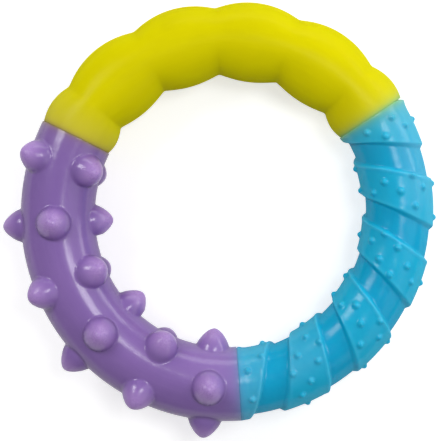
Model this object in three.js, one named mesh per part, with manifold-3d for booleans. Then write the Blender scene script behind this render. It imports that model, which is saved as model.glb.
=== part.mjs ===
// A dog's chew ring, moulded from soft rubber in three colours, one third of the ring each.
//
// Millimetres, +Z up. The ring lies flat with its centre at the origin. The middle of its tube
// runs on a circle in the XY plane. A ring angle is measured at the origin, anticlockwise from
// +X seen from above. A tube angle starts on the outside of the ring and goes over the top.
// All angles are in degrees.
//
// The violet section is moulded first, with a bulb-headed key on each end. The blue section is
// moulded against one of them and has a key of its own. The yellow section closes the ring, so
// it has a socket on each end.

import * as THREE from 'three';
import { mergeVertices } from 'three/addons/utils/BufferGeometryUtils.js';
import Module from 'manifold-3d';

// The ring
const RING_RADIUS = 57.5;
const SEAM_GAP = 0.3;
const END_ROUNDING = 0.6;
const SECTIONS = ['lobed', 'nubbed', 'wrapped'];
const SECTION_ANGLE = 360 / SECTIONS.length;
const FIRST_MIDDLE = 90;

// Yellow section: lobes to both sides, whose creases fade out towards the top and underside
const LOBE_PEAK = 13.3;
const LOBE_CREASE = 11.1;
const LOBE_HALF_HEIGHT = 13.0;
const FULL_LOBES = 4;
const END_LOBE_ANGLE = 12;
const END_LOBE_PEAK = 12.8;
const END_LOBE_PEAK_SHARE = 0.6;

// Violet section: a round tube with rows of nubs
const NUB_TUBE_RADIUS = 12.4;
const NUB_HEIGHT = 6.15;
const NUB_BASE_RADIUS = 6.0;
const NUB_FLARE = 0.5;
const NUB_FLARE_HEIGHT = 1.2;
const NUB_ROOT = 1.0;
const NUB_ROWS = 6;
const NUBS_PER_ROW = 4;

// Blue section: a round tube under one raised band, wound round it as a helix, with dots
const CORE_RADIUS = 10.65;
const BAND_THICKNESS = 1.2;
const BAND_PITCH = 23.6;
const BAND_WIDTH = 14.8;
const BAND_FIRST_EDGE = -0.3;
const BAND_SLOPE = 1.3;
const BAND_DROP = 0.5;
const DOT_RADIUS = 1.1;
const DOT_HEIGHT = 1.0;
const DOT_PITCH = 9.4;
const DOT_EDGE_MARGIN = 1.6;
// Each row of dots: its tube angle on the top half and its first dot's place along the section
const DOT_ROWS = [[0, 6.7], [51, 6.7], [69, 2.4], [92, 6.7], [116, 2.9], [138, 6.7], [180, 5.4]];

// Keys that lock the sections together
const KEY_NECK_RADIUS = 3.6;
const KEY_NECK_LENGTH = 3.2;
const KEY_BARB = 1.9;
const KEY_HEAD_LENGTH = 6.4;
const KEY_ROOT = 2.5;
const KEY_CLEARANCE = 0.3;

// Fineness of the facets
const TUBE_SIDES = 24;
const STEP_ANGLE = 5;
const STEPS_PER_LOBE = 6;
const STEPS_PER_END_LOBE = 4;
const ROUNDING_STEPS = 2;
const BAND_SIDES = 28;
const BAND_FLAT_STEPS = 3;
const GROOVE_STEPS = 2;
const NUB_SIDES = 10;
const NUB_STEPS = 4;
const DOT_SIDES = 5;
const DOT_STEPS = 4;
const KEY_SIDES = 14;
const KEY_HEAD_STEPS = 5;

const wasm = await Module();
wasm.setup();

const radians = THREE.MathUtils.degToRad;
const degrees = THREE.MathUtils.radToDeg;

const seamAngle = degrees(SEAM_GAP / 2 / RING_RADIUS);
const startOf = (name) => FIRST_MIDDLE + (SECTIONS.indexOf(name) - 0.5) * SECTION_ANGLE;

// The point of the ring at a ring angle, so far outwards and so far up from the tube's middle
function ringPoint(angle, outwards, up) {
  const reach = RING_RADIUS + outwards;
  const turn = radians(angle);
  return new THREE.Vector3(reach * Math.cos(turn), reach * Math.sin(turn), up);
}

// Evenly spaced numbers from one value to another, both included
function evenly(from, to, steps) {
  return Array.from({ length: steps + 1 }, (_, i) => from + ((to - from) * i) / steps);
}

// Indexed geometry from points and triangles
function geometryOf(points, triangles) {
  const geometry = new THREE.BufferGeometry().setFromPoints(points);
  geometry.setIndex(triangles);
  return geometry;
}

// A closed geometry as a solid that can be joined and cut
function solidOf(geometry) {
  const bare = geometry.clone();
  bare.deleteAttribute('normal');
  bare.deleteAttribute('uv');
  const merged = mergeVertices(bare, 1e-4);
  const index = merged.index.array;
  const triangles = [];
  for (let i = 0; i < index.length; i += 3) {
    const [a, b, c] = index.slice(i, i + 3);
    if (a !== b && b !== c && c !== a) triangles.push(a, b, c);
  }
  return new wasm.Manifold(new wasm.Mesh({
    numProp: 3,
    vertProperties: new Float32Array(merged.attributes.position.array),
    triVerts: new Uint32Array(triangles),
  }));
}

// A named mesh of a finished solid
function meshOf(name, solid, colour, roughness) {
  const { vertProperties, triVerts } = solid.getMesh();
  const geometry = new THREE.BufferGeometry();
  geometry.setAttribute('position', new THREE.BufferAttribute(vertProperties, 3));
  geometry.setIndex(new THREE.BufferAttribute(triVerts, 1));
  geometry.computeVertexNormals();
  const mesh = new THREE.Mesh(
    geometry, new THREE.MeshStandardMaterial({ color: colour, roughness, metalness: 0 }));
  mesh.name = name;
  return mesh;
}

// Rings of points with equal counts, joined one to the next, each end closed by a fan
function joinRings(rings, startCentre, endCentre) {
  const sides = rings[0].length;
  const points = [...rings.flat(), startCentre, endCentre];
  const first = points.length - 2;
  const last = points.length - 1;
  const triangles = [];
  for (let side = 0; side < sides; side += 1) {
    const next = (side + 1) % sides;
    for (let i = 0; i < rings.length - 1; i += 1) {
      const a = i * sides + side;
      const b = i * sides + next;
      triangles.push(a, a + sides, b + sides, a, b + sides, b);
    }
    const end = (rings.length - 1) * sides;
    triangles.push(first, side, next, last, end + next, end + side);
  }
  return geometryOf(points, triangles);
}

// How far a rounded end edge draws the surface in, at a distance from the end face
function roundedInset(distance) {
  const left = Math.max(0, END_ROUNDING - distance);
  return END_ROUNDING - Math.sqrt(END_ROUNDING ** 2 - left ** 2);
}

// A solid swept along part of the ring between its two seams, with rounded end edges.
// sizeAt gives the half width and half height of its elliptical section at a ring angle.
function sweptSection(start, angles, sizeAt) {
  const from = start + seamAngle;
  const to = start + SECTION_ANGLE - seamAngle;
  const rounding = degrees(END_ROUNDING / RING_RADIUS);
  const ends = evenly(0, 1, ROUNDING_STEPS).map((s) => rounding * (1 - Math.cos((s * Math.PI) / 2)));
  const inner = angles.filter((angle) => angle > from + rounding && angle < to - rounding);
  const stations = [
    ...ends.map((e) => from + e), ...inner, ...ends.map((e) => to - e).reverse(),
  ];
  const rings = stations.map((angle) => {
    const fromEnd = radians(Math.min(angle - from, to - angle)) * RING_RADIUS;
    const inset = roundedInset(fromEnd);
    const [halfWidth, halfHeight] = sizeAt(angle);
    return evenly(0, 360, TUBE_SIDES).slice(0, -1).map((tubeAngle) => ringPoint(
      angle,
      (halfWidth - inset) * Math.cos(radians(tubeAngle)),
      (halfHeight - inset) * Math.sin(radians(tubeAngle)),
    ));
  });
  return solidOf(joinRings(rings, ringPoint(from, 0, 0), ringPoint(to, 0, 0)));
}

// A copy of a shape whose Y axis is turned to point away from the tube's middle
function setOnTube(geometry, angle, tubeAngle, distance) {
  const outwards = distance * Math.cos(radians(tubeAngle));
  const up = distance * Math.sin(radians(tubeAngle));
  const place = ringPoint(angle, outwards, up);
  const away = place.clone().sub(ringPoint(angle, 0, 0)).normalize();
  const along = new THREE.Vector3(-Math.sin(radians(angle)), Math.cos(radians(angle)), 0);
  const across = new THREE.Vector3().crossVectors(along, away);
  const matrix = new THREE.Matrix4().makeBasis(along, away, across).setPosition(place);
  return geometry.clone().applyMatrix4(matrix);
}

// The bulb-headed key at a seam, pointing along the ring: way is 1 for anticlockwise, else -1.
// With a clearance it is the socket that the key fits.
function keySolid(angle, way, clearance) {
  const neck = KEY_NECK_RADIUS + clearance;
  const head = KEY_NECK_RADIUS + KEY_BARB + clearance;
  const halfHead = KEY_HEAD_LENGTH / 2 + clearance;
  const headMiddle = KEY_NECK_LENGTH + KEY_HEAD_LENGTH / 2;
  const headStart = Math.PI - Math.asin(neck / head);
  const profile = [new THREE.Vector2(0, -KEY_ROOT), new THREE.Vector2(neck, -KEY_ROOT)];
  for (const turn of evenly(headStart, 0, KEY_HEAD_STEPS)) {
    const radius = turn === 0 ? 0 : head * Math.sin(turn);
    profile.push(new THREE.Vector2(radius, headMiddle + halfHead * Math.cos(turn)));
  }
  const along = new THREE.Vector3(-Math.sin(radians(angle)), Math.cos(radians(angle)), 0);
  const up = new THREE.Vector3(0, 0, 1);
  along.multiplyScalar(way);
  const matrix = new THREE.Matrix4().makeBasis(along.clone().cross(up), along, up);
  matrix.setPosition(ringPoint(angle, 0, 0));
  return solidOf(new THREE.LatheGeometry(profile, KEY_SIDES).applyMatrix4(matrix));
}

// Yellow section. Its half width is highest at each lobe's peak and falls off as a parabola to
// the creases. The short end lobes are cut by the seams just past their peaks.
function lobedSection() {
  const start = startOf('lobed');
  const middle = start + SECTION_ANGLE / 2;
  const lastCrease = SECTION_ANGLE / 2 - END_LOBE_ANGLE;
  const lobeAngle = (2 * lastCrease) / FULL_LOBES;
  const endPeak = END_LOBE_ANGLE * END_LOBE_PEAK_SHARE;

  function sizeAt(angle) {
    const offset = Math.abs(angle - middle);
    if (offset <= lastCrease) {
      const phase = (angle - middle + lastCrease) / lobeAngle;
      const fromPeak = 2 * Math.abs(phase - Math.floor(phase) - 0.5);
      return [LOBE_PEAK - (LOBE_PEAK - LOBE_CREASE) * fromPeak ** 2, LOBE_HALF_HEIGHT];
    }
    const share = (offset - lastCrease) / END_LOBE_ANGLE;
    const fromPeak = (offset - lastCrease - endPeak) / endPeak;
    const halfHeight = LOBE_HALF_HEIGHT + (NUB_TUBE_RADIUS - LOBE_HALF_HEIGHT) * share ** 2;
    return [END_LOBE_PEAK - (END_LOBE_PEAK - LOBE_CREASE) * fromPeak ** 2, halfHeight];
  }

  const angles = [
    ...evenly(start, middle - lastCrease, STEPS_PER_END_LOBE),
    ...evenly(middle - lastCrease, middle + lastCrease, FULL_LOBES * STEPS_PER_LOBE).slice(1),
    ...evenly(middle + lastCrease, start + SECTION_ANGLE, STEPS_PER_END_LOBE).slice(1),
  ];
  return sweptSection(start, angles, sizeAt)
    .subtract(keySolid(start, 1, KEY_CLEARANCE))
    .subtract(keySolid(start + SECTION_ANGLE, -1, KEY_CLEARANCE));
}

// One nub: a paraboloid on a slight flare. Its foot goes straight down into the tube, to its root
// below the line where the round tube has fallen away from it.
function nubGeometry() {
  const footRadius = NUB_BASE_RADIUS + NUB_FLARE;
  const fall = NUB_TUBE_RADIUS - Math.sqrt(NUB_TUBE_RADIUS ** 2 - footRadius ** 2);
  const sunk = fall + NUB_ROOT;
  const point = (height) => {
    const flare = NUB_FLARE * Math.max(0, 1 - height / NUB_FLARE_HEIGHT) ** 2;
    const radius = NUB_BASE_RADIUS * Math.sqrt(1 - height / NUB_HEIGHT);
    return new THREE.Vector2(radius + flare, height);
  };
  const rise = NUB_HEIGHT - NUB_FLARE_HEIGHT;
  return new THREE.LatheGeometry([
    new THREE.Vector2(0, -sunk),
    new THREE.Vector2(footRadius, -sunk),
    point(0),
    point(NUB_FLARE_HEIGHT / 2),
    ...evenly(1, 0, NUB_STEPS).map((share) => point(NUB_HEIGHT - rise * share ** 2)),
  ], NUB_SIDES);
}

// Violet section: nubs stand at the four quarters of the tube, and in every other row between them
function nubbedSection() {
  const start = startOf('nubbed');
  const rowPitch = SECTION_ANGLE / NUB_ROWS;
  const nubPitch = 360 / NUBS_PER_ROW;
  const angles = evenly(start, start + SECTION_ANGLE, SECTION_ANGLE / STEP_ANGLE);
  let solid = sweptSection(start, angles, () => [NUB_TUBE_RADIUS, NUB_TUBE_RADIUS]);
  const nub = nubGeometry();
  for (let row = 0; row < NUB_ROWS; row += 1) {
    const angle = start + (row + 0.5) * rowPitch;
    const stagger = row % 2 === 0 ? nubPitch / 2 : 0;
    for (let n = 0; n < NUBS_PER_ROW; n += 1) {
      solid = solid.add(solidOf(setOnTube(nub, angle, stagger + n * nubPitch, NUB_TUBE_RADIUS)));
    }
  }
  return solid
    .add(keySolid(start, -1, 0))
    .add(keySolid(start + SECTION_ANGLE, 1, 0));
}

// Blue section. A place on it is the angle from its yellow end. The band's edges are lines of one
// place on the outside of the ring that fall back by one pitch in each turn round the tube.
function bandedTube(end) {
  // Radius against place across one pitch: up the slope, along the band, down and in the groove
  const bandRadius = CORE_RADIUS + BAND_THICKNESS;
  const across = [
    [0, CORE_RADIUS],
    ...evenly(BAND_SLOPE, BAND_WIDTH - BAND_DROP, BAND_FLAT_STEPS).map((s) => [s, bandRadius]),
    ...evenly(BAND_WIDTH, BAND_PITCH, GROOVE_STEPS).slice(0, -1).map((s) => [s, CORE_RADIUS]),
  ];
  // The tube runs on past both ends of the section, where it is cut off later
  const turnsBefore = 1;
  const turns = turnsBefore + Math.ceil(SECTION_ANGLE / BAND_PITCH) + 2;
  const points = [];
  for (let turn = 0; turn < turns; turn += 1) {
    for (const [offset, radius] of across) {
      const place = BAND_FIRST_EDGE + (turn - turnsBefore) * BAND_PITCH + offset;
      for (const tubeAngle of evenly(0, 360, BAND_SIDES).slice(0, -1)) {
        const outwards = radius * Math.cos(radians(tubeAngle));
        const up = radius * Math.sin(radians(tubeAngle));
        points.push(ringPoint(end - place + (tubeAngle / 360) * BAND_PITCH, outwards, up));
      }
    }
  }

  // A line goes once round the tube and ends at the start of the line one pitch before it
  const pitchLines = across.length;
  const lastLine = turns * pitchLines - 1;
  const at = (line, side) => (side < BAND_SIDES
    ? line * BAND_SIDES + side
    : (line - pitchLines) * BAND_SIDES);
  const triangles = [];
  for (let line = 0; line < lastLine; line += 1) {
    for (let side = 0; side < BAND_SIDES; side += 1) {
      if (side === BAND_SIDES - 1 && line < pitchLines) continue;
      const a = at(line, side);
      const b = at(line, side + 1);
      const c = at(line + 1, side + 1);
      const d = at(line + 1, side);
      triangles.push(a, b, c, a, c, d);
    }
  }

  // Each end is closed by a fan over its last line and the step back to that line's start
  const steps = [...Array(pitchLines).keys()];
  const sides = [...Array(BAND_SIDES).keys()];
  const firstLoop = [
    ...steps.map((i) => at(pitchLines - i, BAND_SIDES - 1)),
    ...sides.map((i) => at(0, BAND_SIDES - 1 - i)),
  ];
  const lastLoop = [
    ...sides.map((i) => at(lastLine, i)),
    ...steps.map((i) => at(lastLine - pitchLines + i, 0)),
  ];
  const firstPlace = BAND_FIRST_EDGE - turnsBefore * BAND_PITCH;
  const fanPlaces = [firstPlace, firstPlace + turns * BAND_PITCH];
  [firstLoop, lastLoop].forEach((loop, i) => {
    const centre = points.push(ringPoint(end - fanPlaces[i] + BAND_PITCH / 2, 0, 0)) - 1;
    loop.forEach((vertex, k) => triangles.push(centre, vertex, loop[(k + 1) % loop.length]));
  });
  return solidOf(geometryOf(points, triangles));
}

// The slice of space between the blue section's two end faces, far larger than the tube
function sectorSolid(start) {
  const halfHeight = 2 * (CORE_RADIUS + BAND_THICKNESS);
  const reach = RING_RADIUS + halfHeight;
  const from = radians(start + seamAngle);
  const to = radians(start + SECTION_ANGLE - seamAngle);
  const sector = new THREE.Shape();
  sector.lineTo(reach * Math.cos(from), reach * Math.sin(from));
  sector.absarc(0, 0, reach, from, to, false);
  sector.closePath();
  const geometry = new THREE.ExtrudeGeometry(sector, { depth: 2 * halfHeight, bevelEnabled: false });
  return solidOf(geometry.translate(0, 0, -halfHeight));
}

// Dots stand on a grid of rows, and only where a whole dot fits on the band
function wrappedSection() {
  const start = startOf('wrapped');
  const end = start + SECTION_ANGLE;
  let solid = bandedTube(end).intersect(sectorSolid(start));
  const dot = new THREE.SphereGeometry(1, DOT_SIDES, DOT_STEPS);
  dot.scale(DOT_RADIUS, DOT_HEIGHT, DOT_RADIUS);
  const undersideRows = DOT_ROWS.filter(([tubeAngle]) => tubeAngle % 180 !== 0)
    .map(([tubeAngle, first]) => [360 - tubeAngle, first]);
  for (const [tubeAngle, first] of [...DOT_ROWS, ...undersideRows]) {
    for (let place = first; place < SECTION_ANGLE - DOT_EDGE_MARGIN; place += DOT_PITCH) {
      const pitches = (place - BAND_FIRST_EDGE) / BAND_PITCH + tubeAngle / 360;
      const across = (pitches - Math.floor(pitches)) * BAND_PITCH;
      if (across > DOT_EDGE_MARGIN && across < BAND_WIDTH - DOT_EDGE_MARGIN) {
        const seat = setOnTube(dot, end - place, tubeAngle, CORE_RADIUS + BAND_THICKNESS);
        solid = solid.add(solidOf(seat));
      }
    }
  }
  return solid
    .subtract(keySolid(start, 1, KEY_CLEARANCE))
    .add(keySolid(end, 1, 0));
}

const group = new THREE.Group();
group.name = 'chew_ring';
group.add(
  meshOf('lobed_section', lobedSection(), '#d9d000', 0.4),
  meshOf('nubbed_section', nubbedSection(), '#8a6ab0', 0.35),
  meshOf('wrapped_section', wrappedSection(), '#2fa8d0', 0.35),
);

export default group;
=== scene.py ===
"""A dog's chew ring of soft moulded rubber, on a pale floor in soft studio light.

The ring has three sections: yellow with lobes, violet with nubs, and blue with a wound band and
dots. Each is one surface worked out with numpy, in millimetres and degrees, in the frame of the
CAD model: the ring's centre is the origin and its axis is +Z. A ring angle turns anticlockwise
from +X, seen from above. A tube angle starts on the outside of the ring and goes over the top.
"""
import math

import bpy
import numpy as np
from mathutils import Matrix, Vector


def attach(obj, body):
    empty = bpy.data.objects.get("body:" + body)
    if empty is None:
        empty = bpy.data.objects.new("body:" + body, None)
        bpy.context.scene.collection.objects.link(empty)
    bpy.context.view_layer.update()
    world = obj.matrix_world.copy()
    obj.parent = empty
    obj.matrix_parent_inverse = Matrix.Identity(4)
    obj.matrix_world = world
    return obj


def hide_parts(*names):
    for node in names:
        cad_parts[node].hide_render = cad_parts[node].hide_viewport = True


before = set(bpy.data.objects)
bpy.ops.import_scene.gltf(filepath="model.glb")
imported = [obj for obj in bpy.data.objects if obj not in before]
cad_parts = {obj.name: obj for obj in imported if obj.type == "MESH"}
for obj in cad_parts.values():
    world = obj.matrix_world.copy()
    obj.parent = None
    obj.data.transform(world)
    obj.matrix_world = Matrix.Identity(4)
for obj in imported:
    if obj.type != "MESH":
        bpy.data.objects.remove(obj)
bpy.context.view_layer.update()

MM = 0.001

# The ring's sizes. They are the CAD model's, but for the lobes' creases, the nubs' feet, the band's
# course and the dots, which follow the photograph a little more closely.
RING_RADIUS = 57.5
SECTION_ANGLE = 120.0
YELLOW_START = 30.0
VIOLET_START = YELLOW_START + SECTION_ANGLE
BLUE_START = VIOLET_START + SECTION_ANGLE

LOBE_PEAK = 13.3
LOBE_CREASE = 10.95
LOBE_HALF_HEIGHT = 13.0
FULL_LOBES = 4
END_LOBE_ANGLE = 12.0
END_LOBE_PEAK = 12.8
END_LOBE_PEAK_SHARE = 0.6
CREASE_SOFTNESS = 0.04
CREASE_SHADE_SHARE = 0.16

NUB_TUBE_RADIUS = 12.4
NUB_HEIGHT = 6.15
NUB_FULLNESS = 4.88
NUB_TAPER = 1.1
NUB_STEEPNESS = 5.0
NUB_BASE_RADIUS = 5.9
NUB_BASE_SHARPNESS = 6
NUB_FILLET = 0.5
NUB_ROWS = 6
NUBS_PER_ROW = 4

CORE_RADIUS = 10.65
BAND_THICKNESS = 1.2
BAND_PITCH = 23.4
BAND_WIDTH = 15.7
BAND_FIRST_EDGE = -0.25
BAND_SWAY = 1.9
BAND_SECOND_SWAY = 0.45
BAND_SWAY_LOSS = 0.6
BAND_SLOPE = 1.3
BAND_DROP = 1.5
# Height, place and half width of the lip inside the slope, of the lip before the drop, and of the
# crease past the drop
FIRST_LIP = (0.15, 0.1, 0.7)
LAST_LIP = (0.04, 0.3, 0.6)
FOOT_CREASE = (0.02, 0.25, 0.3)
DOT_HALF_RADIUS = 0.85
DOT_HEIGHT = 1.0
DOT_PITCH = 9.4
DOT_EDGE_MARGIN = 1.4
DOT_DROP_MARGIN = 2.0
# Rows of dots from the outside over the top to the inside: tube angle, and place of the first
DOT_ROWS = [(0, 6.7), (51, 7.4), (69, 3.4), (92, 7.8), (116, 3.8), (138, 7.1), (180, 5.4)]

KEY_NECK_RADIUS = 3.6
KEY_NECK_LENGTH = 3.2
KEY_BARB = 1.9
KEY_HEAD_LENGTH = 6.4
KEY_CLEARANCE = 0.3

# Details that only the moulding's surface shows
OVALITY = 0.45
LONG_AXIS = 59.0
INNER_NUB_DROOP = 4.0
PARTING_RIDGE = 0.05
YELLOW_EDGE = 0.12
FLUSH_EDGE = 0.04
SEAM_EASE = 2.2

# How many faces go along and round each section
YELLOW_STEPS, YELLOW_SIDES = 300, 180
VIOLET_STEPS, VIOLET_SIDES = 360, 248
BLUE_SIDES = 216
EDGE_STEPS = 5
KEY_STEPS = 7
DOT_SIDE_GAIN, DOT_SIDE_REACH = 1.3, 7
# The lines of one pitch of the band, from and to a place and how many: close on its rise and drop
BAND_LINES = [(0, 1.6, 7), (1.6, 13.8, 42), (13.8, 16.2, 12), (16.2, BAND_PITCH, 18)]

# How far from a nub's axis its shape is worked out, in base radii along the ring and in degrees
# round the tube, how far past the tube and the tip it is looked for, and in how many halvings
NUB_WINDOW = (1.6, 50)
NUB_SEARCH_MARGIN = 0.5
NUB_HALVINGS = 26
# How far from a dot's middle its height is worked out, in degrees along the section and round it
DOT_WINDOW = (3, 13)

# Millimetres from a seam over which its bleed and its rim fall off, and the slow share of that
YELLOW_BLEED, YELLOW_RIM = 1.2, 0.7
VIOLET_BLEED, VIOLET_RIM = 1.2, 0.6
BLUE_BLEED, BLUE_RIM = 1.3, 0.8
SEAM_TAIL = 0.2
YELLOW_BLEED_TAIL = 0.06
# Degrees from a seam where the tones near a section's ends begin to fade and where they are gone.
# The violet's end tones are painted shade and painted light, and the blue's are a painted sheen.
YELLOW_VEIL = (0, 14)
PAINTED_SHADE_END = (20, 38)
PAINTED_LIGHT_END = (10, 28)
OUTER_SHEEN = (22, 44)
INNER_SHEEN = (15, 45)
SEAM_SHEEN = (3, 15)

# The rubber's patterns, in repeats per metre
CLOUDS = 34
SWELLS = 120
SPECKED_AREAS = 160
PATCHES = 190
LIP_PATCHES = 260
SPECKS = 420
FLOW_MARKS = 420
SCUFFS = 900
WEAR = 1500
GRAIN = 2600
# Metres of the flow marks' pattern for each radian round the ring, which draws them out along it
FLOW_STRETCH = 0.0035


def cos(angle):
    """Cosine of an angle in degrees."""
    return np.cos(np.radians(angle))


def sin(angle):
    """Sine of an angle in degrees."""
    return np.sin(np.radians(angle))


def smooth(value, low, high):
    """A smooth rise from 0 at low to 1 at high: 3t^2 - 2t^3."""
    t = np.clip((value - low) / (high - low), 0, 1)
    return t * t * (3 - 2 * t)


def middle_line(ring_angle):
    """Distance of the tube's middle line from the axis. The soft ring lies a little oval:
    R + e cos 2(a - b) at ring angle a, for the ovality e and the long axis b."""
    return RING_RADIUS + OVALITY * cos(2 * (ring_angle - LONG_AXIS))


def around(ring_angle, tube_angle, wide, high):
    """Points on a tube round the ring. At ring angle a and tube angle p, with the half width w
    and half height h there, the point is w cos p out from the middle line and h sin p up."""
    out = middle_line(ring_angle) + wide * cos(tube_angle)
    up = high * sin(tube_angle)
    return np.stack(np.broadcast_arrays(out * cos(ring_angle), out * sin(ring_angle), up), axis=-1)


def key_profile(clearance):
    """Along and radius of a bulb-headed key, from its neck's root to its tip: a straight neck,
    then an ellipse about the head's middle. With a clearance it is the socket for the key."""
    neck = KEY_NECK_RADIUS + clearance
    head = KEY_NECK_RADIUS + KEY_BARB + clearance
    half_head = KEY_HEAD_LENGTH / 2 + clearance
    middle = KEY_NECK_LENGTH + KEY_HEAD_LENGTH / 2
    turn = np.linspace(math.pi - math.asin(neck / head), 0, KEY_STEPS)
    along = np.concatenate([[0], middle + half_head * np.cos(turn)])
    radius = np.concatenate([[neck], head * np.sin(turn)])
    radius[-1] = 0
    return along, radius


def end_rows(ring_angle, way, clearance, tube_angle):
    """Rows of points over an end face from its rim to the middle, with the key or the socket in
    it: a profile turned about the tube's middle line. way is 1 where it points anticlockwise."""
    along, radius = key_profile(clearance)
    out = np.array([cos(ring_angle), sin(ring_angle), 0])
    ahead = way * np.array([-sin(ring_angle), cos(ring_angle), 0])
    up = np.array([0, 0, 1])
    across = cos(tube_angle)[:, None] * out + sin(tube_angle)[:, None] * up
    middle = middle_line(ring_angle) * out
    return middle + along[:, None, None] * ahead + radius[:, None, None] * across


def edge_steps(rounding):
    """Distances from an end face, and how far the rounded edge draws the surface in at each: the
    circle e = r - sqrt(r^2 - (r - d)^2)."""
    distance = rounding * (1 - np.cos(np.linspace(0, math.pi / 2, EDGE_STEPS)))
    return distance, rounding - np.sqrt(rounding**2 - (rounding - distance) ** 2)


def grid_faces(rows, sides, offset=0, closed=True):
    """Quads of a grid of points, row after row. A closed grid joins its last side to its first."""
    row = np.arange(rows - 1)[:, None] * sides
    side = np.arange(sides if closed else sides - 1)[None, :]
    after = (side + 1) % sides
    corners = np.broadcast_arrays(row + side, row + sides + side, row + sides + after, row + after)
    return np.stack(corners, axis=-1).reshape(-1, 4) + offset


def inset_at(ring_angle, start, roundings):
    """How far the rounded edges of a section draw its surface in at a ring angle."""
    inset = np.zeros_like(ring_angle)
    for edge, rounding in zip((start, start + SECTION_ANGLE), roundings):
        distance = np.radians(np.abs(ring_angle - edge)) * RING_RADIUS
        left = np.clip(rounding - distance, 0, rounding)
        inset = np.maximum(inset, rounding - np.sqrt(rounding**2 - left**2))
    return inset


def stations(start, steps, roundings):
    """Ring angles of a section's rows, even along it and closer at its rounded edges."""
    low = start + np.degrees(edge_steps(roundings[0])[0] / RING_RADIUS)
    high = start + SECTION_ANGLE - np.degrees(edge_steps(roundings[1])[0] / RING_RADIUS)
    middle = np.linspace(low[-1], high[-1], steps + 1)[1:-1]
    return np.concatenate([low, middle, high[::-1]])


def rubber_piece(name, points, quads, values, material, node):
    """A mesh of quads. Points that agree to a tenth of a micrometre become one, each quad becomes
    two triangles, and triangles that have shrunk to a line are left out. values are numbers per
    point, kept as attributes of the mesh."""
    keys, first, index = np.unique(
        np.round(points, 4), axis=0, return_index=True, return_inverse=True)
    quads = index.reshape(-1)[quads]
    triangles = np.concatenate([quads[:, [0, 1, 2]], quads[:, [0, 2, 3]]])
    a, b, c = triangles.T
    triangles = triangles[(a != b) & (b != c) & (c != a)]
    mesh = bpy.data.meshes.new(name)
    mesh.vertices.add(len(keys))
    mesh.vertices.foreach_set("co", (points[first] * MM).astype(np.float32).ravel())
    mesh.loops.add(triangles.size)
    mesh.loops.foreach_set("vertex_index", triangles.astype(np.int32).ravel())
    mesh.polygons.add(len(triangles))
    mesh.polygons.foreach_set("loop_start", np.arange(0, triangles.size, 3, dtype=np.int32))
    mesh.polygons.foreach_set("use_smooth", np.ones(len(triangles), bool))
    mesh.update(calc_edges=True)
    for key, value in values.items():
        attribute = mesh.attributes.new(key, "FLOAT", "POINT")
        attribute.data.foreach_set("value", value.reshape(-1)[first].astype(np.float32))
    mesh.materials.append(material)
    piece = bpy.data.objects.new(name, mesh)
    bpy.context.scene.collection.objects.link(piece)
    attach(piece, "root")
    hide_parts(node)
    print(name, len(triangles), "triangles")
    return piece


def closed_section(rows, start, way_and_clearance, tube_angle):
    """All rows of a section, from the middle of its first end face to the middle of its last."""
    (first_way, first_clearance), (last_way, last_clearance) = way_and_clearance
    first = end_rows(start, first_way, first_clearance, tube_angle)[::-1]
    last = end_rows(start + SECTION_ANGLE, last_way, last_clearance, tube_angle)
    return np.concatenate([first, rows, last]), len(first), len(last)


def with_ends(value, before, after):
    """Numbers per point of a section's skin, with those of its first and last row carried on
    over its end faces."""
    return np.pad(value, ((before, after), (0, 0)), "edge")


def near_seam(ring_angle, seam, reach, tail=SEAM_TAIL):
    """A number that falls off from 1 at a seam, for the distance d from it, fast at first and
    slowly further on: (1 - tail) e^(-d / reach) + tail e^(-d / 4 reach)."""
    distance = np.radians(np.abs(ring_angle - seam)) * RING_RADIUS
    return (1 - tail) * np.exp(-distance / reach) + tail * np.exp(-distance / (4 * reach))


def lobe_sizes(ring_angle):
    """Half width and half height of the yellow section, and how near a crease is. The width falls
    off from each lobe's peak to its creases as a parabola, 1 - (1 - e)^2 for the share e of the way
    from the crease, and e is softened to sqrt(e^2 + s^2). The end lobes are cut by the seams just
    past their peaks."""
    middle = YELLOW_START + SECTION_ANGLE / 2
    last_crease = SECTION_ANGLE / 2 - END_LOBE_ANGLE
    lobe_angle = 2 * last_crease / FULL_LOBES
    offset = np.abs(ring_angle - middle)
    phase = (ring_angle - middle + last_crease) / lobe_angle
    from_crease = 1 - 2 * np.abs(phase - np.floor(phase) - 0.5)
    end_peak = END_LOBE_ANGLE * END_LOBE_PEAK_SHARE
    past = offset > last_crease
    from_crease = np.where(past, (offset - last_crease) / end_peak, from_crease)
    peak = np.where(past, END_LOBE_PEAK, LOBE_PEAK)
    softened = np.sqrt(from_crease**2 + CREASE_SOFTNESS**2)
    wide = peak - (peak - LOBE_CREASE) * (1 - softened) ** 2
    share = np.clip((offset - last_crease) / END_LOBE_ANGLE, 0, 1)
    high = LOBE_HALF_HEIGHT + (NUB_TUBE_RADIUS - LOBE_HALF_HEIGHT) * share**2
    return wide, high, np.exp(-((from_crease / CREASE_SHADE_SHARE) ** 2))


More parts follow.
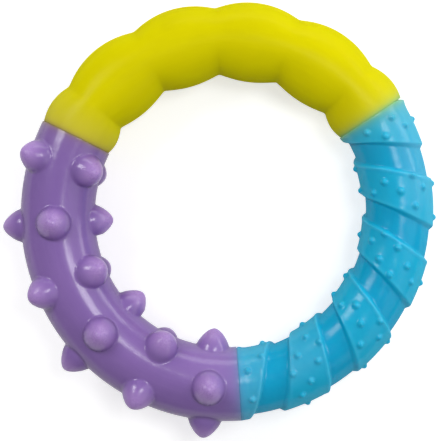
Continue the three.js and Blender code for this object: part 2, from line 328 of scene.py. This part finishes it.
def yellow_section(material):
    """The lobed section: the lobes' sizes carried round the ring on an elliptical section."""
    roundings = (FLUSH_EDGE, YELLOW_EDGE)
    ring_angle = stations(YELLOW_START, YELLOW_STEPS, roundings)[:, None]
    tube_angle = np.arange(YELLOW_SIDES) * 360 / YELLOW_SIDES
    wide, high, crease = lobe_sizes(ring_angle)
    inset = inset_at(ring_angle, YELLOW_START, roundings)
    ridge = PARTING_RIDGE * (tube_angle % 180 == 0)
    rows = around(ring_angle, tube_angle, wide - inset + ridge, high - inset)
    points, before, after = closed_section(
        rows, YELLOW_START, ((1, KEY_CLEARANCE), (-1, KEY_CLEARANCE)), tube_angle)
    everywhere = 0 * tube_angle
    values = {
        # Painted shade: a darker tone in the lobes' creases, strongest on the outer and inner sides
        "crease_shade": crease * np.abs(cos(tube_angle)) ** 1.5,
        "bleed": near_seam(ring_angle, YELLOW_START, YELLOW_BLEED, YELLOW_BLEED_TAIL) + everywhere,
        "rim": near_seam(ring_angle, VIOLET_START, YELLOW_RIM) + everywhere,
        "veil": 1 - smooth(VIOLET_START - ring_angle, *YELLOW_VEIL) + everywhere,
    }
    values = {key: with_ends(value, before, after) for key, value in values.items()}
    quads = grid_faces(len(points), YELLOW_SIDES)
    return rubber_piece("yellow_lobed_rubber", points.reshape(-1, 3), quads, values, material,
                        "lobed_section")


def nub_row_angle(row):
    """Ring angle of a row of nubs. Row 0 is next to the yellow section."""
    return VIOLET_START + (row + 0.5) * SECTION_ANGLE / NUB_ROWS


def nub_girth(drop):
    """Square of a nub's radius at a drop below its tip: x = c drop^n, held under the square of the
    base radius, b^2, as x / (1 + (x / b^2)^k)^(1/k) for the sharpness k."""
    free = NUB_FULLNESS * np.sign(drop) * np.abs(drop) ** NUB_TAPER
    share = np.maximum(free, 0) / NUB_BASE_RADIUS**2
    return free / (1 + share**NUB_BASE_SHARPNESS) ** (1 / NUB_BASE_SHARPNESS)


def nubbed_radius(ring_angle, tube_angle):
    """Distance of the violet surface from the tube's middle line, with how near a nub's tip and how
    near its foot each point is. The rows have nubs at 45, 135, 225 and 315 degrees round the tube
    and at 0, 90, 180 and 270 by turns.
    A nub is a rounded cone, d^2 = nub_girth(H - h) for the distance d from its axis and the
    height h above its base, and (d^2 - nub_girth) / sqrt(4 d^2 + s^2) is about the distance from
    it, for its steepness s. It is joined to the tube by the smooth minimum of both distances,
    min(a, b) - max(f - |a - b|, 0)^2 / 4f with the fillet f, and where that is zero along the ray
    from the middle line is found by halving."""
    ring_angle, tube_angle = np.broadcast_arrays(ring_angle, tube_angle)
    radius = np.full(ring_angle.shape, NUB_TUBE_RADIUS)
    tip, foot = np.zeros_like(radius), np.zeros_like(radius)
    least_radius = RING_RADIUS - NUB_TUBE_RADIUS - NUB_HEIGHT
    reach = math.degrees(NUB_WINDOW[0] * NUB_BASE_RADIUS / least_radius)
    for row in range(NUB_ROWS):
        row_angle = nub_row_angle(row)
        for nub in range(NUBS_PER_ROW):
            nub_angle = (nub + (0.5 if row % 2 == 0 else 0)) * 360 / NUBS_PER_ROW
            nub_angle += INNER_NUB_DROOP * (nub_angle == 225)
            turn = (tube_angle - nub_angle + 180) % 360 - 180
            near = (np.abs(ring_angle - row_angle) < reach) & (np.abs(turn) < NUB_WINDOW[1])
            a, p = ring_angle[near], tube_angle[near]
            base = around(row_angle, nub_angle, NUB_TUBE_RADIUS, NUB_TUBE_RADIUS)
            axis = base - around(row_angle, nub_angle, 0, 0)
            axis = axis / np.linalg.norm(axis)
            low = np.full(a.shape, NUB_TUBE_RADIUS - NUB_SEARCH_MARGIN)
            high = np.full(a.shape, NUB_TUBE_RADIUS + NUB_HEIGHT + NUB_SEARCH_MARGIN)
            for _ in range(NUB_HALVINGS):
                mid = (low + high) / 2
                away = around(a, p, mid, mid) - base
                height = away @ axis
                spread = (away**2).sum(axis=-1) - height**2
                beyond = spread - nub_girth(NUB_HEIGHT - height)
                nub_side = beyond / np.sqrt(4 * spread + NUB_STEEPNESS**2)
                tube_side = mid - NUB_TUBE_RADIUS
                overlap = np.maximum(NUB_FILLET - np.abs(nub_side - tube_side), 0)
                joined = np.minimum(nub_side, tube_side) - overlap**2 / (4 * NUB_FILLET)
                outside = joined > 0
                high = np.where(outside, mid, high)
                low = np.where(outside, low, mid)
            radius[near] = low
            tip[near] = np.maximum(tip[near], smooth(height, 0.3, 0.95 * NUB_HEIGHT))
            foot[near] = np.maximum(foot[near], (overlap / NUB_FILLET) ** 2)
    return radius, tip, foot


def violet_section(material):
    """The nubbed section: the nubs' height field on the round tube. It has painted shade near the
    yellow section, and painted light on its inner side near the blue one."""
    roundings = (YELLOW_EDGE, FLUSH_EDGE)
    ring_angle = stations(VIOLET_START, VIOLET_STEPS, roundings)[:, None]
    tube_angle = np.arange(VIOLET_SIDES) * 360 / VIOLET_SIDES
    radius, tip, foot = nubbed_radius(ring_angle, tube_angle)
    radius = radius - inset_at(ring_angle, VIOLET_START, roundings)
    radius = radius + PARTING_RIDGE * (tube_angle % 180 == 0)
    points, before, after = closed_section(
        around(ring_angle, tube_angle, radius, radius), VIOLET_START, ((-1, 0), (1, 0)), tube_angle)
    everywhere = 0 * tube_angle
    # Painted shade near the yellow section, and painted light on the inner side near the blue one
    painted_shade_end = 1 - smooth(ring_angle - VIOLET_START, *PAINTED_SHADE_END)
    painted_light_end = 1 - smooth(BLUE_START - ring_angle, *PAINTED_LIGHT_END)
    inner_side = smooth(-cos(tube_angle), -0.3, 0.15)
    values = {
        "painted_shade_end": painted_shade_end + everywhere,
        "painted_light_end": painted_light_end * inner_side,
        # The nubs' tips are paler: partly wear, partly painted light
        "worn_and_lit_tips": tip,
        # Painted shade in the fillets round the nubs' feet
        "crease_shade": foot,
        "bleed": near_seam(ring_angle, BLUE_START, VIOLET_BLEED) + everywhere,
        "rim": near_seam(ring_angle, VIOLET_START, VIOLET_RIM) + everywhere,
    }
    values = {key: with_ends(value, before, after) for key, value in values.items()}
    quads = grid_faces(len(points), VIOLET_SIDES)
    return rubber_piece("violet_nubbed_rubber", points.reshape(-1, 3), quads, values, material,
                        "nubbed_section")


def sway(tube_angle):
    """The band's sway along the section, s (sin p + c sin 2p) at a tube angle p, for the sway s and
    the second sway c. It is nil on the outside and the inside of the ring."""
    return BAND_SWAY * (sin(tube_angle) + BAND_SECOND_SWAY * sin(2 * tube_angle))


def sway_stretch(tube_angle):
    """How much of a step from line to line is left where the sway s gets less along the section,
    1 - l s / S for the loss l and the section's angle S."""
    return 1 - BAND_SWAY_LOSS * sway(tube_angle) / SECTION_ANGLE


def place_of(line, tube_angle):
    """Place along the section of a line of the band: the first edge, less a pitch for each turn
    round the tube, with the sway, and the line's number times its stretch."""
    start = BAND_FIRST_EDGE - tube_angle / 360 * BAND_PITCH + sway(tube_angle)
    return start + line * sway_stretch(tube_angle)


def line_at(place, tube_angle):
    """The line of the band through a place, the reverse of place_of."""
    start = BAND_FIRST_EDGE - tube_angle / 360 * BAND_PITCH + sway(tube_angle)
    return (place - start) / sway_stretch(tube_angle)


def band_shape(across):
    """Height over the blue tube against the place across one pitch: a smooth rise over the slope,
    the band with a slight lip along each edge, a smooth drop, and a shallow crease at its foot. A
    lip or crease is h e^(-((x - x0) / w)^2) for its height h, place x0 and half width w."""
    rise = smooth(across, 0, BAND_SLOPE)
    drop = smooth(across, BAND_WIDTH - BAND_DROP, BAND_WIDTH)
    on_band = rise * (1 - drop)
    first_height, first_place, first_width = FIRST_LIP
    last_height, last_place, last_width = LAST_LIP
    crease_depth, crease_place, crease_width = FOOT_CREASE
    first_lip = np.exp(-(((across - BAND_SLOPE - first_place) / first_width) ** 2))
    last_lip = np.exp(-(((across - BAND_WIDTH + BAND_DROP + last_place) / last_width) ** 2))
    crease = crease_depth * np.exp(-(((across - BAND_WIDTH - crease_place) / crease_width) ** 2))
    lips = first_height * first_lip + last_height * last_lip
    height = BAND_THICKNESS * on_band + lips * on_band - crease
    return height, on_band, np.maximum(first_lip, 0.4 * last_lip)


def blue_radius(place, across):
    """Distance of the blue surface from the tube's middle line, with the share of the band and of
    its lips in it. The band swells to the next section's size where it meets a seam."""
    height, on_band, lip = band_shape(across)
    from_seam = np.minimum(place, SECTION_ANGLE - place)
    step = NUB_TUBE_RADIUS - CORE_RADIUS - BAND_THICKNESS
    swell = step * np.exp(-((from_seam / SEAM_EASE) ** 2))
    return CORE_RADIUS + height + swell * on_band, on_band, lip


def dot_places():
    """Place along the section and tube angle of every dot. The dots stand on a grid of rows, and
    only where a whole dot fits on the band. Inside the ring they keep further from its rise."""
    under = [(360 - angle, first) for angle, first in DOT_ROWS if angle % 180]
    found = []
    for angle, first in DOT_ROWS + under:
        place = np.arange(first, SECTION_ANGLE - DOT_DROP_MARGIN, DOT_PITCH)
        across = line_at(place, angle) % BAND_PITCH
        margin = DOT_EDGE_MARGIN + smooth(-cos(angle), 0.5, 0.7)
        fits = (across > margin) & (across < BAND_WIDTH - DOT_DROP_MARGIN)
        found += [(p, angle) for p in place[fits]]
    return found


def dot_heights(place, tube_angle):
    """Height of the dots over the band. A dot is H 2^(-(d / r)^3) for the distance d from its
    middle, so it is half as high at r and runs out softly at twice that. All run out at a seam."""
    radius = CORE_RADIUS + BAND_THICKNESS
    height = np.zeros(place.shape)
    for at, angle in dot_places():
        turn = (tube_angle - angle + 180) % 360 - 180
        near = (np.abs(place - at) < DOT_WINDOW[0]) & (np.abs(turn) < DOT_WINDOW[1])
        along = np.radians(place[near] - at) * (RING_RADIUS + radius * cos(angle))
        distance = np.hypot(along, np.radians(turn[near]) * radius)
        height[near] += DOT_HEIGHT * 0.5 ** ((distance / DOT_HALF_RADIUS) ** 3)
    return height * smooth(np.minimum(place, SECTION_ANGLE - place), 0, 1)


def banded_sides():
    """Tube angles of the blue surface's sides, closer together where rows of dots stand: even
    steps of the sum of 1 + g e^(-((p - row) / w)^4) over the tube angle p, for the gain g and the
    reach w. The rows over 180 degrees are those of the top once more, mirrored."""
    angle = np.linspace(0, 360, 3601)
    dense = np.ones(len(angle))
    for row in [row for row, _ in DOT_ROWS] + [360 - row for row, _ in DOT_ROWS[:-1]]:
        dense += DOT_SIDE_GAIN * np.exp(-(((angle - row) / DOT_SIDE_REACH) ** 4))
    total = np.concatenate([[0], np.cumsum((dense[1:] + dense[:-1]) / 2)])
    sides = np.interp(np.linspace(0, total[-1], BLUE_SIDES + 1), total, angle)
    sides[BLUE_SIDES // 2] = 180
    return sides


def blue_section(material):
    """The banded section: lines of one place across the band, each falling back by a pitch in a
    turn round the tube. Lines that run past a seam are held at it, and the welding drops what
    has shrunk there. The veil is a painted sheen, a paler tone over the outer side near the
    yellow section and over the band near the violet one."""
    end = BLUE_START + SECTION_ANGLE
    across = np.concatenate([
        np.linspace(low, high, count + 1)[:-1] for low, high, count in BAND_LINES])
    turns = np.arange(-1, math.ceil(SECTION_ANGLE / BAND_PITCH) + 2)
    line = (turns[:, None] * BAND_PITCH + across).reshape(-1)[::-1, None]
    across = np.tile(across, len(turns))[::-1, None]
    tube_angle = banded_sides()
    place = place_of(line, tube_angle)
    held = np.clip(place, 0, SECTION_ANGLE)
    kept = (held > 0).any(axis=1) & (held < SECTION_ANGLE).any(axis=1)
    first, last = np.flatnonzero(kept)[[0, -1]]
    used = slice(first - 1, last + 2)
    moved = (held - place) / sway_stretch(tube_angle)
    held, across = held[used], (across[used] + moved[used]) % BAND_PITCH
    wrapped = tube_angle % 360
    ring_angle = end - held
    radius, on_band, lip = blue_radius(held, across)
    dots = dot_heights(held, wrapped + 0 * held)
    radius = radius + dots - inset_at(ring_angle, BLUE_START, (FLUSH_EDGE, FLUSH_EDGE))
    radius = radius + PARTING_RIDGE * (wrapped % 180 == 0)
    skin = around(ring_angle, wrapped, radius, radius)
    points, count = [skin.reshape(-1, 3)], skin.size // 3
    bands, lips, dots = [on_band.reshape(-1)], [lip.reshape(-1)], [dots.reshape(-1)]
    faces = [grid_faces(len(skin), BLUE_SIDES + 1, closed=False)]

    side = tube_angle[:-1]
    for at, order, clearance in ((0, 1, 0), (SECTION_ANGLE, -1, KEY_CLEARANCE)):
        rim_across = line_at(at, side) % BAND_PITCH
        rim, rim_band, rim_lip = blue_radius(at, rim_across)
        rim = rim - inset_at(np.array(end - at), BLUE_START, (FLUSH_EDGE, FLUSH_EDGE))
        rim = rim + PARTING_RIDGE * (side % 180 == 0)
        rows = np.concatenate([around(end - at, side, rim, rim)[None],
                               end_rows(end - at, 1, clearance, side)])[::order]
        faces.append(grid_faces(len(rows), BLUE_SIDES, count))
        points.append(rows.reshape(-1, 3))
        bands.append(np.tile(rim_band, len(rows)))
        lips.append(np.tile(rim_lip, len(rows)))
        dots.append(np.zeros(rows.size // 3))
        count += rows.size // 3

    points, bands = np.concatenate(points), np.concatenate(bands)
    turned = np.degrees(np.arctan2(points[:, 1], points[:, 0])) % 360
    turned = np.where(turned < 180, turned + 360, turned)
    outer = smooth(np.hypot(points[:, 0], points[:, 1]) - middle_line(turned), -2, 6)
    # The veil is a painted sheen over the outer side near the yellow section and the band near the
    # violet one
    outer_sheen = outer * (1 - smooth(end - turned, *OUTER_SHEEN))
    inner_sheen = (1 - outer) * (1 - smooth(turned - BLUE_START, *INNER_SHEEN))
    seam_sheen = 1 - smooth(turned - BLUE_START, *SEAM_SHEEN)
    values = {
        "band": bands,
        # Painted highlight along the band's lips
        "lip": np.concatenate(lips),
        # The dots' tops are paler: partly wear, partly painted light
        "worn_and_lit_tips": smooth(np.concatenate(dots), 0.1, 0.8),
        "bleed": near_seam(turned, end, BLUE_BLEED),
        "veil": np.maximum(outer_sheen, bands * np.maximum(inner_sheen, seam_sheen)),
        "rim": near_seam(turned, BLUE_START, BLUE_RIM),
    }
    return rubber_piece("blue_banded_rubber", points, np.concatenate(faces), values, material,
                        "wrapped_section")


class Shader:
    """A material's node tree with short calls for what these rubbers need."""

    def __init__(self, name):
        self.material = bpy.data.materials.new(name)
        self.material.use_nodes = True
        self.tree = self.material.node_tree
        self.tree.nodes.clear()

    def node(self, kind, inputs=None, **settings):
        made = self.tree.nodes.new(kind)
        for key, value in settings.items():
            setattr(made, key, value)
        for key, value in (inputs or {}).items():
            socket = made.inputs[key]
            if isinstance(value, bpy.types.NodeSocket):
                self.tree.links.new(value, socket)
            else:
                socket.default_value = value
        return made

    def noise(self, vector, scale, detail, roughness, distortion=0.0):
        return self.node("ShaderNodeTexNoise", {
            "Vector": vector, "Scale": scale, "Detail": detail, "Roughness": roughness,
            "Distortion": distortion}).outputs["Fac"]

    def between(self, value, low, high, to_low=0.0, to_high=1.0):
        return self.node("ShaderNodeMapRange", {
            "Value": value, "From Min": low, "From Max": high, "To Min": to_low,
            "To Max": to_high}, clamp=True).outputs["Result"]

    def math(self, operation, a, b=0.0):
        return self.node("ShaderNodeMath", {0: a, 1: b}, operation=operation).outputs[0]

    def mix(self, share, a, b):
        """A colour between a and b. The mix node's first colour inputs are its seventh and eighth,
        and its colour output is the third."""
        return self.node("ShaderNodeMix", {0: share, 6: a, 7: b}, data_type="RGBA").outputs[2]

    def attribute(self, name):
        return self.node("ShaderNodeAttribute", attribute_name=name).outputs["Fac"]


def rgb(red, green, blue):
    return (red, green, blue, 1.0)


def rubber(name, middle, colour, deep, pale, rough, shine, scatter, grain, wavy, edge, tints):
    """Moulded soft rubber. The colour clouds softly between a deeper and a paler tone and has thin
    flow marks along the ring. A thin glossy skin lies over a duller body, which is rougher in
    patches and thin scuffs, and has the fine grain of the mould. middle is the ring angle of the
    section's middle. shine is the body's specular level, then the skin's share and index of
    refraction. scatter is how much light goes into the body and how far in metres, with its
    spread in red, green and blue. grain and wavy are the strengths of the fine and the slow bumps.
    tints says how much of which colour each attribute adds, one after the other. edge is how much
    painted shade darkens the colour where the surface turns away from the view, but not on the
    tips."""
    s = Shader(name)
    where = s.node("ShaderNodeTexCoord").outputs["Object"]
    turned = (0, 0, -math.radians(middle))
    level = s.node("ShaderNodeMapping", {"Vector": where, "Rotation": turned})
    x, y, z = s.node("ShaderNodeSeparateXYZ", {0: level.outputs["Vector"]}).outputs
    out = s.math("SQRT", s.math("ADD", s.math("MULTIPLY", x, x), s.math("MULTIPLY", y, y)))
    turn = s.math("MULTIPLY", s.math("ARCTAN2", y, x), FLOW_STRETCH)
    flow_place = s.node("ShaderNodeCombineXYZ", {0: out, 1: z, 2: turn}).outputs[0]

    cloud = s.noise(where, CLOUDS, 3, 0.55)
    patch = s.noise(where, PATCHES, 4, 0.6)
    fine = s.noise(where, GRAIN, 2, 0.5)
    swell = s.noise(where, SWELLS, 2, 0.4)
    flow = s.noise(flow_place, FLOW_MARKS, 4, 0.6, 0.3)
    scuffs = s.between(s.noise(flow_place, SCUFFS, 3, 0.6, 0.4), 0.64, 0.76)
    cells = s.node("ShaderNodeTexVoronoi", {"Vector": where, "Scale": SPECKS})
    rare = s.between(s.noise(where, SPECKED_AREAS, 1, 0.5), 0.60, 0.66)
    specks = s.math("MULTIPLY", s.between(cells.outputs["Distance"], 0.10, 0.05), rare)
    wear_spots = s.between(s.noise(where, WEAR, 3, 0.6, 0.2), 0.42, 0.66)
    worn = s.math("MULTIPLY", s.attribute("worn_and_lit_tips"), wear_spots)

    tone = s.mix(s.between(cloud, 0.35, 0.65), deep, colour)
    tone = s.mix(s.math("MULTIPLY", s.between(flow, 0.45, 0.75), 0.30), tone, pale)
    tone = s.mix(s.math("MULTIPLY", s.between(patch, 0.50, 0.80), 0.20), tone, pale)
    roughness = s.between(patch, 0.3, 0.7, rough + 0.05, rough + 0.20)
    roughness = s.math("ADD", roughness, s.math("MULTIPLY", scuffs, 0.15))
    # The painted highlight along the band's lips is broken up in patches
    uneven = s.between(s.noise(where, LIP_PATCHES, 2, 0.5), 0.35, 0.65, 0.35, 1.0)
    for attribute, amount, tint in tints:
        share = s.math("MULTIPLY", s.attribute(attribute), amount)
        share = s.math("MULTIPLY", share, uneven) if attribute == "lip" else share
        tone = s.mix(share, tone, tint)
    tone = s.mix(s.math("MULTIPLY", specks, 0.3), tone, pale)
    tone = s.mix(s.math("MULTIPLY", worn, 0.6), tone, pale)
    # Painted shade: the colour darkens where the surface turns away from the view, but not on the
    # tips
    facing = s.node("ShaderNodeLayerWeight", {"Blend": 0.5}).outputs["Facing"]
    painted_edge_shade = s.between(s.attribute("worn_and_lit_tips"), 0, 0.5, edge, 0)
    tone = s.mix(s.math("MULTIPLY", s.between(facing, 0.35, 0.9), painted_edge_shade), tone, rgb(0, 0, 0))

    wave = s.node("ShaderNodeBump", {"Height": swell, "Strength": wavy, "Distance": 0.0005})
    lines = s.node("ShaderNodeBump", {"Height": flow, "Strength": 0.25, "Distance": 0.00006,
                                      "Normal": wave.outputs["Normal"]})
    skin = s.node("ShaderNodeBump", {"Height": fine, "Strength": grain, "Distance": 0.00003,
                                     "Normal": lines.outputs["Normal"]})
    wear = s.node("ShaderNodeBump", {"Height": worn, "Strength": 0.5, "Distance": 0.00008,
                                     "Normal": skin.outputs["Normal"]})
    pits = s.node("ShaderNodeBump", {"Height": specks, "Strength": 0.5, "Distance": 0.00006,
                                     "Normal": wear.outputs["Normal"]})
    shader = s.node("ShaderNodeBsdfPrincipled", {
        "Base Color": tone, "Roughness": roughness, "Normal": pits.outputs["Normal"],
        "Specular IOR Level": shine[0], "Coat Weight": shine[1], "Coat IOR": shine[2],
        "Coat Roughness": rough, "Coat Normal": pits.outputs["Normal"],
        "Subsurface Weight": scatter[0], "Subsurface Scale": scatter[1],
        "Subsurface Radius": scatter[2]})
    s.node("ShaderNodeOutputMaterial", {"Surface": shader.outputs["BSDF"]})
    return s.material


# Where the photograph was taken from. The camera looks straight down the ring's axis, a little
# off its centre, and is turned so that the yellow section's middle lies left of the image's top.
# SCALE is the millimetres to a pixel at the ring's middle plane.
RING_RADIUS_PIXELS = 170.6
SCALE = RING_RADIUS / RING_RADIUS_PIXELS
FOCAL_PIXELS = 1200.0
IMAGE_SIZE = (439, 441)
RING_CENTRE_OFFSET = (8.35, 7.9)
ROLL = -3.6
right = np.array([cos(ROLL), sin(ROLL), 0])
above = np.array([-sin(ROLL), cos(ROLL), 0])

# The lamps: name, azimuth, tilt, distance in metres, width, height and light, as softbox says
SOFTBOXES = [
    ("upper_left_box", -54, 45, 0.47, 18, 22, 0.31),
    ("right_strip", 63, 71, 0.30, 42, 13, 0.21),
    ("top_wall", 8, 74, 0.45, 50, 16, 0.19),
    ("overhead_box", 60, 20.5, 0.51, 15, 20, 0.235),
    ("lower_right_box", 125, 60, 0.60, 30, 30, 0.06),
    ("right_wall", 80, 48, 0.60, 50, 40, 0.15),
]
WORLD_LIGHT = 0.30
FLOOR_GREY = 0.76
FLOOR_LIFT = 0.58
FLOOR_HALF = 2500.0


def photo_camera():
    """The camera, on the ring's axis but for the offset of the ring in the photograph."""
    data = bpy.data.cameras.new("camera")
    data.sensor_width = 36.0
    data.lens = FOCAL_PIXELS * data.sensor_width / max(IMAGE_SIZE)
    camera = bpy.data.objects.new("camera", data)
    offset = -(right * RING_CENTRE_OFFSET[0] + above * RING_CENTRE_OFFSET[1]) * SCALE
    camera.location = Vector((offset + np.array([0, 0, FOCAL_PIXELS * SCALE])) * MM)
    camera.rotation_euler = (0, 0, math.radians(ROLL))
    bpy.context.scene.collection.objects.link(camera)
    bpy.context.scene.camera = camera


def softbox(name, azimuth, tilt, distance, wide, high, light):
    """An area lamp aimed at the ring. The azimuth turns clockwise from the image's top, the tilt is
    from the ring's axis, and the lamp is that many degrees wide and high, seen from the ring's
    centre. light is what it adds to a white surface there that faces it."""
    data = bpy.data.lights.new(name, "AREA")
    data.shape = "RECTANGLE"
    data.size = 2 * distance * math.tan(math.radians(wide / 2))
    data.size_y = 2 * distance * math.tan(math.radians(high / 2))
    data.energy = light * math.pi**2 * distance**2
    lamp = bpy.data.objects.new(name, data)
    towards = sin(tilt) * (sin(azimuth) * right + cos(azimuth) * above)
    towards = Vector(towards + np.array([0, 0, cos(tilt)]))
    lamp.location = towards * distance
    lamp.rotation_euler = towards.to_track_quat("Z", "Y").to_euler()
    lamp.visible_camera = False
    bpy.context.scene.collection.objects.link(lamp)


def floor_under(pieces):
    """The floor touches two nub tips of the underside, in rows 1 and 5, and the ring's far side:
    through the tips, rising from row 3 to the far side as steeply as all points there allow. It is
    a wide square of a plain diffuse grey, lifted to white for the camera and for what the skin
    mirrors, and clear from below."""
    tip_angle, middle = nub_row_angle(1), nub_row_angle(3)
    reach = RING_RADIUS * cos(middle - tip_angle)
    depth = -(NUB_TUBE_RADIUS + NUB_HEIGHT)
    uphill = np.array([-cos(middle), -sin(middle), 0])
    points = []
    for piece in pieces:
        found = np.empty(len(piece.data.vertices) * 3, np.float32)
        piece.data.vertices.foreach_get("co", found)
        points.append(found.reshape(-1, 3) / MM)
    points = np.concatenate(points)
    along = points @ uphill + reach
    far = along > reach
    slope = float(((points[far, 2] - depth) / along[far]).min())
    side = np.array([-uphill[1], uphill[0], 0])
    corners = []
    for u, v in ((-1, -1), (1, -1), (1, 1), (-1, 1)):
        flat = FLOOR_HALF * (u * uphill + v * side)
        level = depth + slope * (FLOOR_HALF * u + reach)
        corners.append((flat + np.array([0, 0, level])) * MM)
    mesh = bpy.data.meshes.new("floor")
    mesh.from_pydata([tuple(c) for c in corners], [], [(0, 1, 2, 3)])
    floor = bpy.data.objects.new("floor", mesh)
    bpy.context.scene.collection.objects.link(floor)
    print("floor slope", math.degrees(math.atan(slope)), "degrees")

    s = Shader("pale_floor")
    plain = s.node("ShaderNodeBsdfDiffuse", {"Color": rgb(FLOOR_GREY, FLOOR_GREY, FLOOR_GREY)})
    path = s.node("ShaderNodeLightPath").outputs
    seen = s.math("MAXIMUM", path["Is Camera Ray"],
                  s.math("MAXIMUM", path["Is Glossy Ray"], path["Is Transmission Ray"]))
    lift = s.node("ShaderNodeEmission", {"Color": rgb(1, 1, 1),
                                         "Strength": s.math("MULTIPLY", seen, FLOOR_LIFT)})
    both = s.node("ShaderNodeAddShader", {0: plain.outputs[0], 1: lift.outputs[0]})
    under = s.node("ShaderNodeMixShader", {
        0: s.node("ShaderNodeNewGeometry").outputs["Backfacing"], 1: both.outputs[0],
        2: s.node("ShaderNodeBsdfTransparent").outputs[0]})
    s.node("ShaderNodeOutputMaterial", {"Surface": under.outputs[0]})
    mesh.materials.append(s.material)


def studio():
    """An even white surround and the lamps."""
    scene = bpy.context.scene
    scene.view_settings.view_transform = "Standard"
    world = bpy.data.worlds.new("studio")
    world.use_nodes = True
    background = world.node_tree.nodes["Background"]
    background.inputs["Color"].default_value = rgb(1, 1, 1)
    background.inputs["Strength"].default_value = WORLD_LIGHT
    scene.world = world
    for box in SOFTBOXES:
        softbox(*box)


yellow = rubber(
    "yellow_rubber", YELLOW_START + SECTION_ANGLE / 2, colour=rgb(0.71, 0.64, 0.0),
    deep=rgb(0.665, 0.595, 0.0), pale=rgb(0.75, 0.68, 0.0), rough=0.28, shine=(0.0, 0.03, 2.2),
    scatter=(0.45, 0.0025, (1.0, 0.9, 0.1)), grain=0.5, wavy=0.3, edge=0.1, tints=(
        # Painted shade in the creases
        ("crease_shade", 0.2, rgb(0.60, 0.53, 0.0)),
        ("veil", 0.6, rgb(0.63, 0.56, 0.06)),
        ("bleed", 1.0, rgb(0.25, 0.52, 0.19)),
        ("rim", 1.0, rgb(0.32, 0.23, 0.11))))
violet = rubber(
    "violet_rubber", VIOLET_START + SECTION_ANGLE / 2, colour=rgb(0.265, 0.149, 0.449),
    deep=rgb(0.238, 0.134, 0.417), pale=rgb(0.307, 0.181, 0.506), rough=0.18,
    shine=(0.04, 0.2, 2.6), scatter=(0.12, 0.003, (1.0, 0.6, 1.0)), grain=0.2, wavy=0.35,
    edge=0.3, tints=(
        # Painted shade near the yellow section
        ("painted_shade_end", 0.5, rgb(0.20, 0.112, 0.36)),
        # Painted light on the inner side near the blue section
        ("painted_light_end", 0.8, rgb(0.307, 0.181, 0.506)),
        # Paler tips: wear, and painted light
        ("worn_and_lit_tips", 1.0, rgb(0.42, 0.255, 0.61)),
        # Painted shade round the nubs' feet
        ("crease_shade", 0.35, rgb(0.20, 0.11, 0.36)),
        ("bleed", 0.9, rgb(0.17, 0.26, 0.53)),
        ("rim", 1.0, rgb(0.30, 0.21, 0.12))))
blue = rubber(
    "blue_rubber", BLUE_START + SECTION_ANGLE / 2, colour=rgb(0.0, 0.39, 0.65),
    deep=rgb(0.0, 0.36, 0.615), pale=rgb(0.0, 0.435, 0.69), rough=0.22, shine=(0.0, 0.13, 2.6),
    scatter=(0.4, 0.002, (0.4, 0.8, 1.0)), grain=0.2, wavy=0.8, edge=0.1, tints=(
        ("band", 0.85, rgb(0.008, 0.455, 0.705)),
        # Painted sheen
        ("veil", 0.5, rgb(0.085, 0.44, 0.66)),
        # Painted highlight along the lips
        ("lip", 0.4, rgb(0.10, 0.57, 0.81)),
        # Paler dot tops: wear, and painted light
        ("worn_and_lit_tips", 0.1, rgb(0.07, 0.52, 0.76)),
        ("bleed", 1.0, rgb(0.25, 0.52, 0.19)),
        ("rim", 0.9, rgb(0.11, 0.26, 0.52))))

pieces = [yellow_section(yellow), violet_section(violet), blue_section(blue)]
photo_camera()
floor_under(pieces)
studio()
